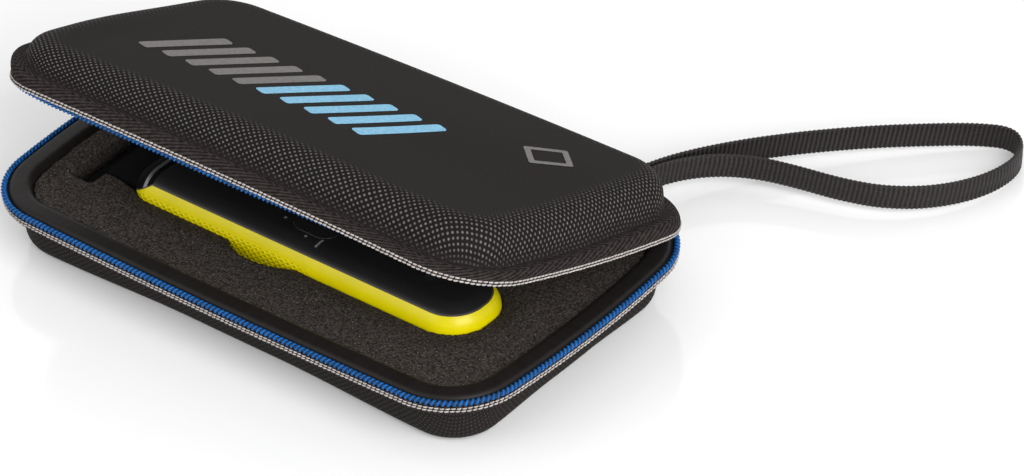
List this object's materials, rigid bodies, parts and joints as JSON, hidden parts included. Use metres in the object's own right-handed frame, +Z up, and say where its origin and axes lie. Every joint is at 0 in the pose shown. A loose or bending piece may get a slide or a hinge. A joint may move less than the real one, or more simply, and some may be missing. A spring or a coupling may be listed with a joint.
{
  "type": "electric shaver hard case",
  "caption": "Hard zip travel case with a domed hinged lid, foam insert, wrist strap and the electric shaver that it holds.",
  "frame": {"origin": "on the floor, under the middle of the tray's outline", "axes": "+X along the case towards the shaver's charging end, +Y towards the fabric hinge, +Z up"},
  "size_m": [0.2312, 0.2238, 0.0703],
  "materials": {
    "woven_cover": "black dotted weave",
    "eva_board": "moulded EVA board",
    "brushed_lining": "brushed knit",
    "zipper_tape": "herringbone tape",
    "zipper_coil": "blue moulded coil",
    "seam_thread": "pale sewing thread",
    "padded_lip": "smooth padded binding",
    "hinge_cloth": "woven nylon",
    "foam": "open-cell foam",
    "foam_sheet": "closed-cell foam sheet",
    "webbing": "ribbed nylon webbing",
    "zinc_black": "black painted zinc",
    "print_blue": "light blue screen print",
    "print_grey": "grey screen print",
    "grip_plastic": "yellow-green moulded grip",
    "panel_gloss": "piano black",
    "trim_grey": "satin",
    "neck_black": "satin moulded",
    "band_silver": "satin",
    "light_lens": "smoked lens",
    "board_green": "solder resist",
    "battery_wrap": "shrink wrap",
    "motor_steel": "satin",
    "blade_steel": "ground"
  },
  "bodies": {
    "base": {"base_outer_fabric": "woven_cover", "base_shell": "eva_board", "base_lining": "brushed_lining", "base_zipper_tape": "zipper_tape", "base_zipper_coil": "zipper_coil", "base_stitch_rows": "seam_thread", "base_track_stops": "zinc_black", "base_rim_lip": "padded_lip", "base_hinge_cloth": "hinge_cloth", "foam_backing_sheet": "foam_sheet", "foam_insert": "foam", "strap_anchor_tab": "webbing", "strap_bartack": "seam_thread", "wrist_strap": "webbing", "zipper_sliders": "zinc_black", "shaver_grip_shell": "grip_plastic", "shaver_charging_socket": "neck_black", "shaver_seam_trim": "trim_grey", "shaver_neck": "neck_black", "shaver_neck_band": "band_silver", "shaver_charge_light": "light_lens", "shaver_front_panel": "panel_gloss", "shaver_circuit_board": "board_green", "shaver_switch": "neck_black", "shaver_motor": "motor_steel", "shaver_battery": "battery_wrap", "shaver_carrier": "neck_black", "shaver_head_frame": "neck_black", "shaver_head_caps": "grip_plastic", "shaver_guard_plates": "blade_steel"},
    "lid": {"lid_outer_fabric": "woven_cover", "lid_shell": "eva_board", "lid_lining": "brushed_lining", "lid_zipper_tape": "zipper_tape", "lid_rim_lip": "padded_lip", "lid_zipper_coil": "zipper_coil", "lid_stitch_rows": "seam_thread", "lid_track_stops": "zinc_black", "lid_print_blue": "print_blue", "lid_print_grey": "print_grey", "lid_hinge_cloth": "hinge_cloth"},
    "power_button": {"shaver_power_button": "panel_gloss"},
    "cutter": {"shaver_cutter": "blade_steel"},
    "drive": {"shaver_drive_shaft": "motor_steel"},
    "left_pull": {"left_zipper_pull": "zinc_black"},
    "right_pull": {"right_zipper_pull": "zinc_black"}
  },
  "joints": [
    {"name": "lid_hinge", "type": "hinge", "parent": "base", "child": "lid", "pos_m": [0, 0.0593, 0.0215], "axis": [-1, 0, 0], "range_deg": [-19.25, 110]},
    {"name": "power_button_press", "type": "slide", "parent": "base", "child": "power_button", "axis": [0, 0, -1], "range_m": [0, 0.0008], "stiffness_N_per_m": 900, "springref_m": -0.0003},
    {"name": "cutter_stroke", "type": "slide", "parent": "base", "child": "cutter", "axis": [0, 1, 0], "range_m": [-0.0008, 0.0008]},
    {"name": "drive_spin", "type": "hinge", "parent": "base", "child": "drive", "pos_m": [-0.06, -0.012, 0.0122], "axis": [1, 0, 0], "continuous": true},
    {"name": "left_pull_swing", "type": "hinge", "parent": "base", "child": "left_pull", "pos_m": [-0.0663, 0.06122, 0.0186], "axis": [1, 0, 0], "range_deg": [-8, 85]},
    {"name": "right_pull_swing", "type": "hinge", "parent": "base", "child": "right_pull", "pos_m": [0.0663, 0.06122, 0.0186], "axis": [1, 0, 0], "range_deg": [-8, 85]}
  ]
}
